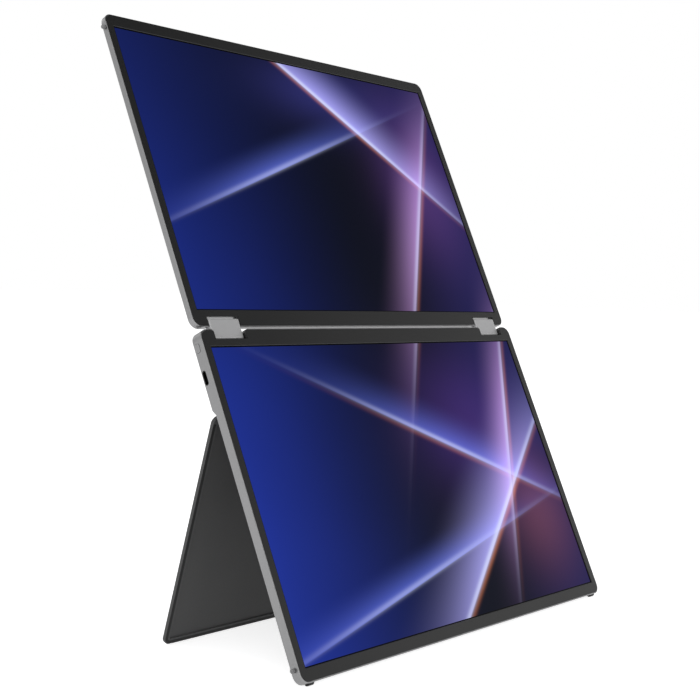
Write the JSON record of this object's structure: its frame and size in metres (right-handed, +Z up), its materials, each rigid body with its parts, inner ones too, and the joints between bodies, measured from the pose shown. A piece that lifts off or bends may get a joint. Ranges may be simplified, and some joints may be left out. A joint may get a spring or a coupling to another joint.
{
  "type": "dual portable monitor",
  "caption": "Foldable portable monitor whose stacked displays are joined by twin-axis friction hinge blocks and lean on a rear kickstand, with a tripod socket and edge ports.",
  "frame": {"origin": "on the floor, under the centre of the bounding box of the unfolded, leaning monitor", "axes": "+Z up, -Y towards the viewer of the screens, +X to the viewer's right"},
  "size_m": [0.3164, 0.1867, 0.3807],
  "materials": {
    "case_metal": "bead-blasted and anodised grey, satin",
    "hinge_metal": "anodised grey, satin",
    "bezel_black": "matte charcoal",
    "display_glass": "glossy, lit from within",
    "foam": "closed-cell foam",
    "carrier_metal": "stamped sheet",
    "flex_film": "amber film",
    "board_green": "solder mask",
    "chip_black": "moulded package",
    "port_steel": "drawn shell",
    "insert_brass": "turned",
    "foot_rubber": "matte black rubber",
    "stud_grey": "matte grey rubber",
    "screw_steel": "zinc plated",
    "hinge_steel": "ground",
    "kickstand_black": "anodised charcoal, satin",
    "button_metal": "anodised grey"
  },
  "bodies": {
    "lower_half": {"lower_rear_cover": "case_metal", "lower_bezel": "bezel_black", "lower_panel_gasket": "foam", "lower_display_panel": "display_glass", "lower_panel_carrier": "carrier_metal", "lower_panel_flex": "flex_film", "main_board": "board_green", "io_board": "board_green", "main_board_chips": "chip_black", "board_ribbon": "flex_film", "usb_c_left": "port_steel", "usb_c_right": "port_steel", "mini_hdmi": "port_steel", "tact_switches": "chip_black", "tripod_insert": "insert_brass", "bottom_feet": "foot_rubber", "lower_edge_foot": "stud_grey", "rear_cover_screws": "screw_steel", "board_screws": "screw_steel", "kickstand_pins": "screw_steel", "lower_bracket_screws": "screw_steel", "left_lower_bracket": "hinge_steel", "right_lower_bracket": "hinge_steel", "left_lower_shaft": "hinge_steel", "right_lower_shaft": "hinge_steel"},
    "hinge_link": {"left_hinge_block": "hinge_metal", "right_hinge_block": "hinge_metal", "left_hinge_cap": "hinge_metal", "right_hinge_cap": "hinge_metal", "left_friction_clips": "hinge_steel", "right_friction_clips": "hinge_steel"},
    "upper_half": {"upper_rear_cover": "case_metal", "upper_bezel": "bezel_black", "upper_panel_gasket": "foam", "upper_display_panel": "display_glass", "upper_panel_carrier": "carrier_metal", "upper_panel_flex": "flex_film", "upper_driver_board": "board_green", "upper_edge_foot": "stud_grey", "upper_bracket_screws": "screw_steel", "left_upper_bracket": "hinge_steel", "right_upper_bracket": "hinge_steel", "left_upper_shaft": "hinge_steel", "right_upper_shaft": "hinge_steel"},
    "kickstand": {"kickstand_plate": "kickstand_black", "kickstand_strip": "foot_rubber", "kickstand_arm_screws": "screw_steel", "left_kickstand_arm": "hinge_steel", "right_kickstand_arm": "hinge_steel"},
    "power_button": {"power_button": "button_metal"},
    "menu_key_near": {"menu_key_near": "button_metal"},
    "menu_key_far": {"menu_key_far": "button_metal"}
  },
  "joints": [
    {"name": "hinge_lower", "type": "hinge", "parent": "lower_half", "child": "hinge_link", "pos_m": [0, -0.00095, 0.18635], "axis": [1, 0, 0], "range_deg": [-60, 90]},
    {"name": "hinge_upper", "type": "hinge", "parent": "hinge_link", "child": "upper_half", "pos_m": [0, 0.00284, 0.19429], "axis": [1, 0, 0], "range_deg": [-60, 90]},
    {"name": "kickstand_swing", "type": "hinge", "parent": "lower_half", "child": "kickstand", "pos_m": [0, -0.01796, 0.14416], "axis": [1, 0, 0], "range_deg": [-41.3, 18.7]},
    {"name": "power_button_press", "type": "slide", "parent": "lower_half", "child": "power_button", "axis": [1, 0, 0], "range_m": [0, 0.0004], "stiffness_N_per_m": 4000},
    {"name": "menu_key_near_press", "type": "slide", "parent": "lower_half", "child": "menu_key_near", "axis": [-1, 0, 0], "range_m": [0, 0.0004], "stiffness_N_per_m": 4000},
    {"name": "menu_key_far_press", "type": "slide", "parent": "lower_half", "child": "menu_key_far", "axis": [-1, 0, 0], "range_m": [0, 0.0004], "stiffness_N_per_m": 4000}
  ]
}
